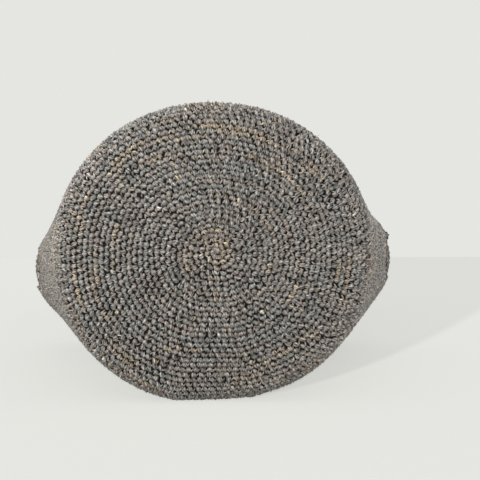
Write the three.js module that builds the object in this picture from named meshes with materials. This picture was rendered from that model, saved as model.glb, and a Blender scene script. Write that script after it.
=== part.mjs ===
// Crocheted raffia shoulder bag, lying on its front wall, in millimetres.
// X runs along the mouth's width, +Y from the round base to the mouth, +Z up from the surface that it lies on.
// The origin is on that surface, under the middle of the wall's length.
import * as THREE from "three";

// Round base. The bag sags as it lies, so the base is a little wider than it is high.
const baseHalfWidth = 153;
const baseHalfHeight = 147;
const edgeRoll = 18;

// Wall, from the base to the mouth. The section changes from the round base to a wide, flattened mouth.
const wallLength = 262;
const wallThickness = 4.5;
const mouthHalfWidth = 199;
const mouthHalfHeight = 97;
const pressedFlat = 4;
const topSag = 8;
const roundFullness = 2;
const mouthTopFullness = 2.3;
const mouthBottomFullness = 2.4;

// Corded edging round the mouth
const edgingRadius = 3.6;

// Shoulder strap: a band that arches from one end of the mouth to the other
const strapWidth = 38;
const strapThickness = 3.5;
const strapDrop = 290;
const strapFullness = 2.2;
const strapTuck = 12;
const sewnEndLength = 36;

// How far the sewn ends pull each side of the mouth in, and the length of wall that they flatten
const strapSeatDepth = 7;
const strapSeatLength = 71;

// Thread that holds each sewn end, in rows across it
const threadWidth = 1.2;
const threadHeight = 1;
const stitchRows = 3;
const stitchRowPitch = 5;
const stitchEdgeMargin = 4;

// Cotton lining
const liningThickness = 0.8;
const liningBelowEdge = 12;

// Slip pocket on the lining
const pocketWidth = 150;
const pocketDepth = 120;
const pocketThickness = 0.8;
const pocketBelowEdge = 70;

// Magnetic snap, one half on each side of the mouth, each on a square patch
const snapRadius = 9;
const snapHeight = 3;
const snapStudRadius = 4;
const snapStudHeight = 2.5;
const snapSocketBore = 4.6;
const snapBelowEdge = 34;
const snapPatchSide = 32;
const snapPatchThickness = 1.2;
const snapPatchCorner = 4;

// Clear space between touching pieces, and a wider one where a piece lies on a curved wall or lining
const clearance = 0.3;
const curvedClearance = 0.7;

// How finely curves are divided
const columns = 48;
const rollSteps = 4;
const wallSteps = 12;
const edgingSides = 8;
const strapSteps = 44;
const sewnEndSteps = 6;
const pocketSteps = 8;

const materials = {
  raffia: { color: 0x8a8178, roughness: 0.62, metalness: 0 },
  edging: { color: 0x948b80, roughness: 0.6, metalness: 0 },
  lining: { color: 0xd9cfbc, roughness: 0.9, metalness: 0 },
  thread: { color: 0x5d554c, roughness: 0.7, metalness: 0 },
  metal: { color: 0xb79a63, roughness: 0.3, metalness: 1 },
};

const halfLength = wallLength / 2;
const mouthMiddle = mouthHalfHeight - pressedFlat;
const hemShare = 1 - liningBelowEdge / (wallLength - edgeRoll);
const mix = THREE.MathUtils.lerp;

// A power that keeps the sign, for superellipse sections.
function signedPower(value, power) {
  return Math.sign(value) * Math.abs(value) ** power;
}

// The wall's section at a station: sizes, height of its widest line and place along Y.
// share runs from 0, where the edge roll ends, to 1 at the mouth. Near the mouth its sides are flat, at seat.
function wallSection(share) {
  const halfWidth = mix(baseHalfWidth, mouthHalfWidth, share);
  const pulledIn = Math.max(0, 1 - ((1 - share) * (wallLength - edgeRoll)) / strapSeatLength);
  return {
    halfWidth,
    seat: halfWidth - strapSeatDepth * pulledIn,
    above: mix(baseHalfHeight, mouthHalfHeight, share) - topSag * Math.sin(Math.PI * share),
    below: mix(baseHalfHeight, mouthHalfHeight, share),
    middle: mix(baseHalfHeight, mouthHalfHeight, share) - pressedFlat,
    topFullness: mix(roundFullness, mouthTopFullness, share),
    bottomFullness: mix(roundFullness, mouthBottomFullness, Math.sqrt(share)),
    y: mix(edgeRoll - halfLength, halfLength, share),
  };
}

// One point of a section, moved inward by inset. What would reach under the surface is pressed flat, at floor,
// and the sides are flat where the strap's sewn ends pull them in.
function sectionPoint(section, angle, inset, floor = inset) {
  const up = Math.sin(angle);
  const power = 2 / (up >= 0 ? section.topFullness : section.bottomFullness);
  const height = (up >= 0 ? section.above : section.below) - inset;
  const x = (section.halfWidth - inset) * signedPower(Math.cos(angle), power);
  const side = section.seat - inset;
  const z = section.middle + height * signedPower(up, power);
  return new THREE.Vector3(THREE.MathUtils.clamp(x, -side, side), section.y, Math.max(z, floor));
}

function ringOf(pointAt) {
  return Array.from({ length: columns }, (_, i) => pointAt((2 * Math.PI * i) / columns));
}

// Rings of a surface that lies inset inside the wall's outer face: first round the edge roll, then up the wall to
// the lining's hem, and past it to the mouth where toMouth says so.
function wallRings(inset, toMouth) {
  const rings = [];
  const radius = edgeRoll - inset;
  for (let i = 0; i < rollSteps; i += 1) {
    const turn = (Math.PI / 2) * (i / rollSteps);
    const section = { ...wallSection(0), y: edgeRoll - halfLength - radius * Math.cos(turn) };
    const side = edgeRoll - radius * Math.sin(turn);
    rings.push(ringOf((angle) => sectionPoint(section, angle, side)));
  }
  const shares = Array.from({ length: wallSteps + 1 }, (_, i) => (hemShare * i) / wallSteps);
  for (const share of toMouth ? [...shares, 1] : shares) {
    rings.push(ringOf((angle) => sectionPoint(wallSection(share), angle, inset)));
  }
  return rings;
}

// A closed solid through a row of rings. A looped row joins its last ring to its first; otherwise flat ends close it.
// Each four-sided face is split the same way in space whether the row rises or falls along Y, so that nested
// shells stay parallel.
function loft(rings, looped) {
  const size = rings[0].length;
  const points = rings.flat();
  const faces = [];
  const bands = looped ? rings.length : rings.length - 1;
  for (let band = 0; band < bands; band += 1) {
    const here = band * size;
    const next = ((band + 1) % rings.length) * size;
    const rising = points[next].y >= points[here].y;
    for (let i = 0; i < size; i += 1) {
      const j = (i + 1) % size;
      faces.push(here + i, here + j, next + (rising ? j : i));
      faces.push(here + (rising ? i : j), next + j, next + i);
    }
  }
  if (!looped) {
    const last = (rings.length - 1) * size;
    for (let i = 1; i < size - 1; i += 1) {
      faces.push(0, i + 1, i);
      faces.push(last, last + i, last + i + 1);
    }
  }
  if (signedVolume(points, faces) < 0) {
    faces.reverse();
  }
  const geometry = new THREE.BufferGeometry().setFromPoints(points);
  geometry.setIndex(faces);
  geometry.computeVertexNormals();
  return geometry;
}

function signedVolume(points, faces) {
  let sum = 0;
  for (let i = 0; i < faces.length; i += 3) {
    const [a, b, c] = [points[faces[i]], points[faces[i + 1]], points[faces[i + 2]]];
    sum += a.dot(new THREE.Vector3().crossVectors(b, c));
  }
  return sum;
}

function mesh(name, geometry, finish) {
  const made = new THREE.Mesh(geometry, new THREE.MeshStandardMaterial(materials[finish]));
  made.name = name;
  return made;
}

// A hollow shell between two insets, open at the base and at the mouth.
function shell(outerInset, innerInset, toMouth) {
  const outer = wallRings(outerInset, toMouth);
  const inner = wallRings(innerInset, toMouth);
  return loft([...outer, ...inner.reverse()], true);
}

// A flat round panel that fills the shell's open base, starting depth behind the base's outer face.
function basePanel(depth, thickness) {
  const rings = [depth, depth + thickness].map((setBack) => {
    const section = { ...wallSection(0), y: setBack - halfLength };
    return ringOf((angle) => sectionPoint(section, angle, edgeRoll + clearance));
  });
  return loft(rings, false);
}

// The edging: a thick cord that follows the end of the wall and is pressed flat where it lies on the surface.
function mouthEdging() {
  const mouth = wallSection(1);
  const rings = [];
  for (let i = 0; i < edgingSides; i += 1) {
    const turn = (2 * Math.PI * (i + 0.5)) / edgingSides;
    const inset = wallThickness / 2 - edgingRadius * Math.cos(turn);
    const section = { ...mouth, y: halfLength + clearance + edgingRadius * (1 + Math.sin(turn)) };
    const floor = edgingRadius * (1 - Math.cos(turn));
    rings.push(ringOf((angle) => sectionPoint(section, angle, inset, floor)));
  }
  return loft(rings, true);
}

// The strap's sewn end, which follows the wall's outside under the edging. side is 1 right and -1 left.
function sewnEnd(side) {
  const rings = [];
  const reach = strapWidth / 2;
  for (let i = 0; i <= sewnEndSteps; i += 1) {
    const y = halfLength - clearance - (sewnEndLength * i) / sewnEndSteps;
    const section = sectionAt(y);
    const outline = [];
    for (const layer of [curvedClearance, curvedClearance + strapThickness]) {
      const row = [];
      for (let j = 0; j <= sewnEndSteps; j += 1) {
        row.push(besideWall(section, mix(-reach, reach, j / sewnEndSteps), layer, side));
      }
      outline.push(...(layer > curvedClearance ? row.reverse() : row));
    }
    rings.push(outline);
  }
  return loft(rings, false);
}

function sectionAt(y) {
  return wallSection((y + halfLength - edgeRoll) / (wallLength - edgeRoll));
}

// The point that stands off the wall's side by layer, at a height measured from the mouth's widest line.
function besideWall(section, height, layer, side) {
  const z = mouthMiddle + height;
  const away = z - section.middle;
  const fullness = away >= 0 ? section.topFullness : section.bottomFullness;
  const half = away >= 0 ? section.above : section.below;
  const x = section.halfWidth * (1 - (Math.abs(away) / half) ** fullness) ** (1 / fullness);
  return new THREE.Vector3(side * (Math.min(x, section.seat) + layer), section.y, z);
}

// The thread that sews an end down: one unbroken line that runs to and fro across the band, on its outside.
function endStitches(side) {
  const line = [];
  const reach = strapWidth / 2 - stitchEdgeMargin;
  for (let row = 0; row < stitchRows; row += 1) {
    const y = halfLength - sewnEndLength + stitchEdgeMargin + row * stitchRowPitch;
    const way = row % 2 === 0 ? 1 : -1;
    for (let i = 0; i <= sewnEndSteps; i += 1) {
      line.push(new THREE.Vector2(way * mix(-reach, reach, i / sewnEndSteps), y));
    }
  }
  const seat = curvedClearance + strapThickness + clearance;
  const rings = line.map((point, i) => {
    const across = mitre(line, i).multiplyScalar(threadWidth / 2);
    const sides = [point.clone().sub(across), point.clone().add(across)];
    const [near, far] = [seat, seat + threadHeight].map((layer) => sides.map(
      (edge) => besideWall(sectionAt(edge.y), edge.x, layer, side),
    ));
    return [...near, ...far.reverse()];
  });
  return loft(rings, false);
}

// The direction across a line at one of its points, lengthened at corners so that both sides keep their width.
function mitre(line, i) {
  const before = line[Math.max(i - 1, 0)];
  const after = line[Math.min(i + 1, line.length - 1)];
  const here = line[i];
  const into = here.clone().sub(i > 0 ? before : after).normalize().multiplyScalar(i > 0 ? 1 : -1);
  const out = (i < line.length - 1 ? after.clone().sub(here) : here.clone().sub(before)).normalize();
  const across = new THREE.Vector2(into.y + out.y, -(into.x + out.x));
  return across.divideScalar(1 + into.dot(out));
}

// The strap's free part, drawn flat and then tilted about the mouth's widest line until its far edge lies down.
const strapInside = wallSection(1).seat + strapThickness + 2 * curvedClearance;
const strapTilt = -restTilt();

function restTilt() {
  const reach = Math.hypot(strapDrop, strapWidth / 2);
  return Math.asin(mouthMiddle / reach) - Math.atan2(strapWidth / 2, strapDrop);
}

function shoulderStrap() {
  const middleLine = strapInside + strapThickness / 2;
  const depth = strapDrop - strapThickness / 2;
  const line = [new THREE.Vector2(middleLine, -strapTuck)];
  for (let i = 0; i <= strapSteps; i += 1) {
    const turn = (Math.PI * i) / strapSteps;
    const x = middleLine * signedPower(Math.cos(turn), 2 / strapFullness);
    line.push(new THREE.Vector2(x, depth * Math.sin(turn) ** (2 / strapFullness)));
  }
  line.push(new THREE.Vector2(-middleLine, -strapTuck));
  const rings = line.map((point, i) => {
    const before = line[Math.max(i - 1, 0)];
    const after = line[Math.min(i + 1, line.length - 1)];
    const along = after.clone().sub(before).normalize();
    const out = new THREE.Vector2(along.y, -along.x).multiplyScalar(strapThickness / 2);
    const corners = [[1, -1], [1, 1], [-1, 1], [-1, -1]];
    return corners.map(([face, edge]) => new THREE.Vector3(
      point.x + face * out.x,
      point.y + face * out.y,
      (edge * strapWidth) / 2,
    ));
  });
  const strap = mesh("shoulder_strap", loft(rings, false), "raffia");
  strap.position.set(0, halfLength, mouthMiddle);
  strap.rotation.x = strapTilt;
  return strap;
}

function roundedPlate(width, length, corner, thickness) {
  const plate = new THREE.Shape();
  const [x, y] = [width / 2, length / 2];
  plate.moveTo(corner - x, -y);
  plate.lineTo(x - corner, -y);
  plate.absarc(x - corner, corner - y, corner, -Math.PI / 2, 0);
  plate.lineTo(x, y - corner);
  plate.absarc(x - corner, y - corner, corner, 0, Math.PI / 2);
  plate.lineTo(corner - x, y);
  plate.absarc(corner - x, y - corner, corner, Math.PI / 2, Math.PI);
  plate.lineTo(-x, corner - y);
  plate.absarc(corner - x, corner - y, corner, Math.PI, 1.5 * Math.PI);
  return new THREE.ExtrudeGeometry(plate, { depth: thickness, bevelEnabled: false, curveSegments: 4 });
}

// The lining's inner face, over the flat side and under the top side.
const liningInset = wallThickness + clearance + liningThickness;

// The pocket's panel follows the lower side of the lining.
function slipPocket() {
  const seat = liningInset + curvedClearance;
  const rings = Array.from({ length: pocketSteps + 1 }, (_, i) => {
    const section = sectionAt(halfLength - pocketBelowEdge - (pocketDepth * i) / pocketSteps);
    const places = Array.from({ length: pocketSteps + 1 }, (_, j) => pocketWidth * (j / pocketSteps - 0.5));
    const under = places.map((x) => overFloor(section, x, seat));
    const over = places.map((x) => overFloor(section, x, seat + pocketThickness));
    return [...under, ...over.reverse()];
  });
  return loft(rings, false);
}

// The point of the section's lower side at x, moved inward by inset.
function overFloor(section, x, inset) {
  const fullness = section.bottomFullness;
  const share = (1 - (Math.abs(x) / (section.halfWidth - inset)) ** fullness) ** (1 / fullness);
  return new THREE.Vector3(x, section.y, Math.max(section.middle - (section.below - inset) * share, inset));
}

// Each half of the snap stands on its patch, which lies on the lining at the middle of the mouth.
function snapHalf(face, side) {
  const patch = mesh(`snap_patch_${side}`, patchPlate(), "lining");
  const half = mesh(face === 1 ? "snap_stud" : "snap_socket", face === 1 ? studShape() : socketShape(), "metal");
  half.position.z = snapPatchThickness + clearance;
  const group = new THREE.Group();
  group.add(patch, half);
  return group;
}

function patchPlate() {
  return roundedPlate(snapPatchSide, snapPatchSide, snapPatchCorner, snapPatchThickness);
}

function studShape() {
  return turned([[0, 0], [snapRadius, 0], [snapRadius, snapHeight], [snapStudRadius, snapHeight],
    [snapStudRadius, snapHeight + snapStudHeight], [0, snapHeight + snapStudHeight]]);
}

function socketShape() {
  return turned([[0, 0], [snapRadius, 0], [snapRadius, snapHeight], [snapSocketBore, snapHeight],
    [snapSocketBore, snapHeight - snapStudHeight + clearance], [0, snapHeight - snapStudHeight + clearance]]);
}

function turned(profile) {
  const points = profile.map(([radius, height]) => new THREE.Vector2(radius, height));
  return new THREE.LatheGeometry(points, 24).rotateX(Math.PI / 2);
}

function lowerSnap() {
  const group = snapHalf(1, "lower");
  group.position.set(0, halfLength - snapBelowEdge, liningInset + clearance);
  return group;
}

function upperSnap() {
  const group = snapHalf(-1, "upper");
  const y = halfLength - snapBelowEdge;
  const roof = (at) => sectionPoint(sectionAt(at), Math.PI / 2, liningInset).z;
  const slope = Math.atan2(roof(y + snapPatchSide / 2) - roof(y - snapPatchSide / 2), snapPatchSide);
  group.rotation.x = Math.PI + slope;
  group.position.set(0, y, roof(y) - curvedClearance);
  return group;
}

const bag = new THREE.Group();
bag.add(
  mesh("base_disc", basePanel(0, wallThickness), "raffia"),
  mesh("side_wall", shell(0, wallThickness, true), "raffia"),
  mesh("rim_edging", mouthEdging(), "edging"),
  mesh("lining_base", basePanel(wallThickness + clearance, liningThickness), "lining"),
  mesh("lining_wall", shell(wallThickness + clearance, liningInset, false), "lining"),
  shoulderStrap(),
  mesh("inner_pocket", slipPocket(), "lining"),
  lowerSnap(),
  upperSnap(),
);
for (const [word, side] of [["left", -1], ["right", 1]]) {
  bag.add(mesh(`strap_end_${word}`, sewnEnd(side), "raffia"));
  bag.add(mesh(`strap_stitching_${word}`, endStitches(side), "thread"));
}

export default bag;
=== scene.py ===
import math

import bpy
import numpy as np
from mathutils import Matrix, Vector


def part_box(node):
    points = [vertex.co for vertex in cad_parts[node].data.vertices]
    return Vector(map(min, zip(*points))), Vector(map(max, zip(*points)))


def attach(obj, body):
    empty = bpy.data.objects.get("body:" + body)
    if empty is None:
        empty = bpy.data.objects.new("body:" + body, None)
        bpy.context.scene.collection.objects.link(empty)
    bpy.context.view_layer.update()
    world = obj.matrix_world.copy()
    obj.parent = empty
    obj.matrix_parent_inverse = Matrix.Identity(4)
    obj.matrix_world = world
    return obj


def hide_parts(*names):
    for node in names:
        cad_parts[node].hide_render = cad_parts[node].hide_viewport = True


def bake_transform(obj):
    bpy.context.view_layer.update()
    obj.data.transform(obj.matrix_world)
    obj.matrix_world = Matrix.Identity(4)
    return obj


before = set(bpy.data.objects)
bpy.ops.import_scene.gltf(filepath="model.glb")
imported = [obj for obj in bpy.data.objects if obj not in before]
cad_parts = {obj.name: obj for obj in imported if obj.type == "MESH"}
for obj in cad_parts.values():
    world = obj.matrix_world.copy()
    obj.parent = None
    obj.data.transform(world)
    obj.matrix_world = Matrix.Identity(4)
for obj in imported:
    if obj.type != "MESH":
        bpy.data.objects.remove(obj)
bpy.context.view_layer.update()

MM = 0.001
RNG = np.random.default_rng(20)

# Sizes of the bag's walls, as the CAD part has them
WALL_HIGH = np.array(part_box("side_wall")[1]) / MM
HALF_LENGTH = WALL_HIGH[1]
PRESSED_FLAT = 4
BASE_HALF_WIDTH = 153
BASE_HALF_HEIGHT = (WALL_HIGH[2] + PRESSED_FLAT) / 2
EDGE_ROLL = 18
WALL_THICKNESS = 4.5
MOUTH_HALF_WIDTH = 199
MOUTH_HALF_HEIGHT = 97
TOP_SAG = 8
ROUND_FULLNESS = 2
SEAT_DEPTH = 7
SEAT_LENGTH = 71
SEAT_FADE = 8
CLEARANCE = 0.3

WALL_RUN = 2 * HALF_LENGTH - EDGE_ROLL
BASE_MIDDLE = BASE_HALF_HEIGHT - PRESSED_FLAT
MOUTH_MIDDLE = MOUTH_HALF_HEIGHT - PRESSED_FLAT

# The spiral starts a little right of and above the middle of the base, which has sagged
SPIRAL_X = 3.8
SPIRAL_Z = BASE_MIDDLE + 7

# Distances along the skin from the middle of the base: flat base, rolled edge, then the wall
BASE_REACH = (BASE_HALF_WIDTH + BASE_HALF_HEIGHT) / 2 - EDGE_ROLL
ROLL_REACH = EDGE_ROLL * math.pi / 2
MOUTH_REACH = BASE_REACH + ROLL_REACH + WALL_RUN

# Where the soft shell differs from the CAD part's: the mouth's ends are more pointed and its left end hangs
# lower; the base is fuller above and on the left, bulges, and stands off the floor right of its middle.
SOFT_FULLNESS = 2.07
MOUTH_TOP_LEFT_FULLNESS = 1.95
MOUTH_TOP_RIGHT_FULLNESS = 2.12
MOUTH_BOTTOM_FULLNESS = 2.25
MOUTH_TILT = 4.5
BASE_CROWN = 8
BASE_WAVE = 1.3
BASE_LIFT = 2.5
BASE_LIFT_X = 45
BASE_LIFT_WIDTH = 30
BASE_LIFT_HEIGHT = 60
FOLD_DEPTH = 3.2

# Shoulder strap, a crocheted band, a little cupped across its width
STRAP_WIDTH = 38
STRAP_THICKNESS = 3.5
STRAP_DROP = 290
STRAP_FULLNESS = 2.2
SEWN_LENGTH = 36

# Crochet
ROUND_PITCH = 5.05
STITCH_PITCH = 6.5
STITCH_DEPTH = 0.8
UNDER_STRAP_DEPTH = 1.0
CORE_DEPTH = 2.8
CORE_THICKNESS = 1.7


def mix(a, b, share):
    return a + (b - a) * share


def smooth(share):
    share = np.clip(share, 0, 1)
    return share * share * (3 - 2 * share)


def signed_power(value, power):
    return np.sign(value) * np.abs(value) ** power


def unit(vectors):
    return vectors / np.maximum(np.linalg.norm(vectors, axis=-1, keepdims=True), 1e-9)


def way_along(steps):
    """Distances along a row of points from the first, by the steps between them."""
    return np.append(0, np.cumsum(steps))


def round_angles(count):
    return np.linspace(0, 2 * math.pi, count, endpoint=False)


def circle(angles):
    return np.stack([np.cos(angles), np.sin(angles)], -1)


def jitter(spread, shape):
    """Normally distributed random numbers of that spread."""
    return RNG.normal(0, spread, shape)


def linear(code):
    """An sRGB hex colour as linear red, green and blue."""
    parts = np.array([int(code[i : i + 2], 16) for i in (1, 3, 5)]) / 255
    return np.where(parts <= 0.04045, parts / 12.92, ((parts + 0.055) / 1.055) ** 2.4)


# The bag's skin


def seat_pull(share):
    """How far the strap's seat draws the wall in at a share of its length, up to 1 at the mouth."""
    return np.clip(1 - (1 - share) * WALL_RUN / SEAT_LENGTH, 0, 1)


def section(share, angle, inset):
    """X and Z of the wall's section at a share of its length, moved inward by inset."""
    half_width = mix(BASE_HALF_WIDTH, MOUTH_HALF_WIDTH, share)
    half_height = mix(BASE_HALF_HEIGHT, MOUTH_HALF_HEIGHT, share)
    above = half_height - TOP_SAG * np.sin(math.pi * np.clip(share, 0, 1))
    up = np.sin(angle)
    left = smooth(0.5 - np.cos(angle))
    bottom = mix(mix(ROUND_FULLNESS, SOFT_FULLNESS, left), MOUTH_BOTTOM_FULLNESS, np.sqrt(share))
    top = mix(SOFT_FULLNESS, mix(MOUTH_TOP_RIGHT_FULLNESS, MOUTH_TOP_LEFT_FULLNESS, left), share)
    fullness = np.where(up >= 0, top, bottom)
    height = np.where(up >= 0, above, half_height) - inset
    x = (half_width - inset) * signed_power(np.cos(angle), 2 / fullness)
    z = half_height - PRESSED_FLAT + height * signed_power(up, 2 / fullness)
    beside_strap = 1 - smooth((np.abs(z - MOUTH_MIDDLE) - STRAP_WIDTH / 2) / SEAT_FADE)
    pulled_in = seat_pull(share) * beside_strap
    seat = half_width - SEAT_DEPTH * pulled_in - inset
    return np.clip(x, -seat, seat), np.maximum(z, inset)


def base_waves(x, z):
    """How far the soft base stands in front of or behind its plane."""
    broad = np.sin(x / 47 + 0.8) * np.cos(z / 58 + 0.3)
    return BASE_WAVE * (broad + 0.5 * np.sin(x / 24 - z / 31))


def base_lift(x, z, share):
    """How far the skin stands off the floor right of the base's middle."""
    near = np.exp(-(((x - BASE_LIFT_X) / BASE_LIFT_WIDTH) ** 2))
    return BASE_LIFT * near * smooth(1 - z / BASE_LIFT_HEIGHT) * (1 - smooth(share))


def wall_folds(share, angle):
    """Soft lengthwise folds, deepest at the mouth's long sides and gone at its ends, where the strap is."""
    long_side = smooth(1.6 * np.abs(np.sin(angle)) - 0.4)
    waves = np.sin(5 * angle + 1.1 + 1.5 * share) + 0.6 * np.sin(9 * angle + 0.4 - 2 * share)
    at_snap = np.exp(-((np.cos(angle) / 0.2) ** 2)) * smooth(4 * share - 1.6)
    return FOLD_DEPTH * share * long_side * waves * mix(0.4, 1.0, smooth(np.sin(angle))) * (1 - at_snap)


def skin(reach, angle, depth=0.0):
    """Points at a reach along the skin from the base's middle, an angle round it and a depth under it."""
    reach, angle, depth = np.broadcast_arrays(np.asarray(reach, float), angle, depth)
    flat = np.minimum(reach / BASE_REACH, 1)
    turn = np.clip((reach - BASE_REACH) / EDGE_ROLL, 0, math.pi / 2)
    share = np.maximum(reach - BASE_REACH - ROLL_REACH, 0) / WALL_RUN
    radius = EDGE_ROLL - depth
    x, z = section(share, angle, EDGE_ROLL - radius * np.sin(turn))
    x = mix(SPIRAL_X, x, flat)
    z = mix(SPIRAL_Z, z, flat)
    y = EDGE_ROLL - HALF_LENGTH - radius * np.cos(turn) + share * WALL_RUN
    y = y - BASE_CROWN * (1 - flat**3) + base_waves(x, z) * (1 - smooth(2 * share))
    fold = wall_folds(share, angle)
    lift = base_lift(x, z, share)
    x = x + fold * np.cos(angle)
    z = z + lift + fold * np.sin(angle) + MOUTH_TILT * share**2 * x / MOUTH_HALF_WIDTH
    return np.stack([x, y, np.maximum(z, depth + CLEARANCE)], -1)


def skin_frame(reach, angle, depth=0.0):
    """Points of the skin, with the directions round the bag, away from the base's middle and outward."""
    small_reach, small_angle = 0.8, 0.006
    point = skin(reach, angle, depth)
    away = skin(reach + small_reach, angle, depth) - skin(reach - small_reach, angle, depth)
    around = unit(skin(reach, angle + small_angle, depth) - skin(reach, angle - small_angle, depth))
    out = unit(np.cross(away, around))
    return point, around, np.cross(around, out), out


# Where even shares of the way round each ring of the skin lie, with the rings a round apart
RING_STEPS = 360
TABLE_REACHES = np.arange(0.5, MOUTH_REACH + 2 * ROUND_PITCH, ROUND_PITCH)


def ring_tables():
    """Each ring's angles at even shares of the way round from its lowest point, and its length."""
    fine = np.linspace(-math.pi / 2, 1.5 * math.pi, 2 * RING_STEPS + 1)
    shares = np.linspace(0, 1, RING_STEPS + 1)
    angles, lengths = [], []
    for reach in TABLE_REACHES:
        way = way_along(np.linalg.norm(np.diff(skin(reach, fine), axis=0), axis=1))
        angles.append(np.interp(shares * way[-1], way, fine))
        lengths.append(way[-1])
    return np.array(angles), np.array(lengths)


RING_ANGLES, RING_LENGTHS = ring_tables()


def ring_length(reach):
    return np.interp(reach, TABLE_REACHES, RING_LENGTHS)


def ring_angle(reach, place):
    """The angle at a place, which is a share of the way round the ring at reach."""
    row = np.clip((reach - TABLE_REACHES[0]) / ROUND_PITCH, 0, len(TABLE_REACHES) - 1.001)
    column = place % 1 * RING_STEPS
    low_row, low = row.astype(int), column.astype(int)
    near, far = (mix(RING_ANGLES[ring, low], RING_ANGLES[ring, low + 1], column - low)
                 for ring in (low_row, low_row + 1))
    return mix(near, far, row - low_row)


# Meshes

# A loft's map: its sides fill the lower part, and its two ends lie side by side above them
SIDES_OF_MAP = 0.94
END_HALF_SIZE = (0.48, 0.012)
LEAST_STEP = 1e-4


def link_object(name, data):
    made = bpy.data.objects.new(name, data)
    bpy.context.scene.collection.objects.link(made)
    return made


def add_object(name, points, loops, sizes, material):
    """A mesh object from points in millimetres, its faces' corners in a row and their corner counts."""
    mesh = bpy.data.meshes.new(name)
    mesh.vertices.add(len(points))
    mesh.vertices.foreach_set("co", (np.asarray(points) * MM).astype(np.float32).ravel())
    mesh.loops.add(len(loops))
    mesh.loops.foreach_set("vertex_index", np.asarray(loops, np.int32))
    mesh.polygons.add(len(sizes))
    starts = np.concatenate([[0], np.cumsum(sizes)[:-1]])
    mesh.polygons.foreach_set("loop_start", starts.astype(np.int32))
    mesh.polygons.foreach_set("loop_total", np.asarray(sizes, np.int32))
    mesh.polygons.foreach_set("use_smooth", np.full(len(sizes), True))
    mesh.update(calc_edges=True)
    mesh.materials.append(material)
    return link_object(name, mesh)


def finish_piece(made, slot, *nodes):
    """A piece of the bag itself, in place of those nodes."""
    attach(made, "bag")
    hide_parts(*nodes)
    return made


def set_uv(made, name, places):
    layer = made.data.uv_layers.new(name=name)
    layer.uv.foreach_set("vector", np.asarray(places, np.float32).ravel())


def set_colour(made, colours):
    """Each point's colour: the yarn's own tone times painted shade, which its material reads under the name
    Yarn.
    """
    layer = made.data.color_attributes.new(name="YarnAndPaintedShade", type="BYTE_COLOR", domain="POINT")
    opaque = np.concatenate([np.clip(colours, 0, 1), np.ones((len(colours), 1))], 1)
    layer.data.foreach_set("color", opaque.astype(np.float32).ravel())


def two_sided(near, far):
    """The rings of one side of a wall, then those of its other side back again."""
    return np.concatenate([near, far[::-1]])


def grid_corners(rows, columns):
    """Row and column of the four corners of every cell of a grid, row after row of cells."""
    row, column = (x.ravel() for x in np.meshgrid(np.arange(rows), np.arange(columns), indexing="ij"))
    return np.stack([row, row, row + 1, row + 1], 1), np.stack([column, column + 1, column + 1, column], 1)


def signed_volume(points, faces):
    a, b, c, d = (points[faces[:, i]] for i in range(4))
    return (np.cross(a, b) * c).sum() + (np.cross(a, c) * d).sum()


def add_loft(name, rings, material, looped=False, cloth=None):
    """A closed solid through rings. A looped row joins its last ring to its first, or flat ends close it.
    cloth names what a second map in millimetres follows, for a weave: xy, xz or the rings."""
    count, columns = rings.shape[:2]
    bands = count if looped else count - 1
    row, column = grid_corners(bands, columns)
    points = rings.reshape(-1, 3)
    faces = row % count * columns + column % columns
    following = np.roll(rings, -1, axis=0)[:bands]
    row_way = way_along(np.linalg.norm(following - rings[:bands], axis=2).mean(1) + LEAST_STEP)
    beside = np.roll(rings, -1, axis=1)
    round_way = way_along(np.linalg.norm(beside - rings, axis=2).mean(0) + LEAST_STEP)
    places = np.stack([round_way[column], row_way[row]], -1)
    if signed_volume(points, faces) < 0:
        faces, places = faces[:, ::-1], places[:, ::-1]
    loops, sizes, places = faces.ravel(), [4] * len(faces), places.reshape(-1, 2)
    spots = places / (round_way[-1], row_way[-1] / SIDES_OF_MAP)
    if not looped:
        ring = np.arange(columns)
        first_end = ring[::-1] if faces[0][1] > faces[0][0] else ring
        last_end = first_end[::-1] + (count - 1) * columns
        loops = np.concatenate([loops, first_end, last_end])
        sizes += [columns] * 2
        oval = END_HALF_SIZE * circle(2 * math.pi * ring / columns) + (0.5, (1 + SIDES_OF_MAP) / 2)
        spots = np.concatenate([spots, oval * (0.5, 1), oval * (0.5, 1) + (0.5, 0)])
        places = np.concatenate([places, np.zeros((2 * columns, 2))])
    made = add_object(name, points, loops, sizes, material)
    set_uv(made, "OFBake", spots)
    if cloth:
        flat = {"xy": points[loops][:, :2], "xz": points[loops][:, ::2], "rings": places}[cloth]
        set_uv(made, "Cloth", flat)
    return made


# Strands of raffia and thread: short tapered tubes, made many at a time

STRAND_KEYS = ("centre", "along", "up", "length", "width", "height", "bend", "dive", "colour")
STRAND_ROUNDING = 2.1
# Painted shade: each strand's colour darkens toward its ends, where they dive into the gaps between stitches
END_PAINTED_SHADE = 0.16
CELL_MARGIN = 0.04

# Each material of strands has a map cut into a square of cells, one for each strand: cells along each side
MAP_CELLS = {
    "dyed_raffia": 71,
    "dyed_raffia_inner_side": 54,
    "dyed_raffia_strap": 76,
    "dyed_raffia_edging": 37,
    "dyed_raffia_ends": 20,
    "waxed_linen_thread": 5,
    "cotton_sewing_thread": 18,
    "cotton_sewing_thread_patch": 6,
}


def join(groups):
    return {key: np.concatenate([group[key] for group in groups]) for key in STRAND_KEYS}


def strand_group(centre, along, up, length, width, height, dive, colour, bend=0.0):
    """Strands by their middles, directions, upward directions and sizes, the dive of their ends, colour and
    sideways bend. A single upward direction, number or colour holds for all of them."""
    count = len(centre)
    numbers = [np.broadcast_to(np.asarray(x, float), (count,)) for x in (length, width, height, bend, dive)]
    up, colour = (np.broadcast_to(x, (count, 3)) for x in (up, colour))
    return dict(zip(STRAND_KEYS, (centre, along, up, *numbers, colour)))


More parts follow.
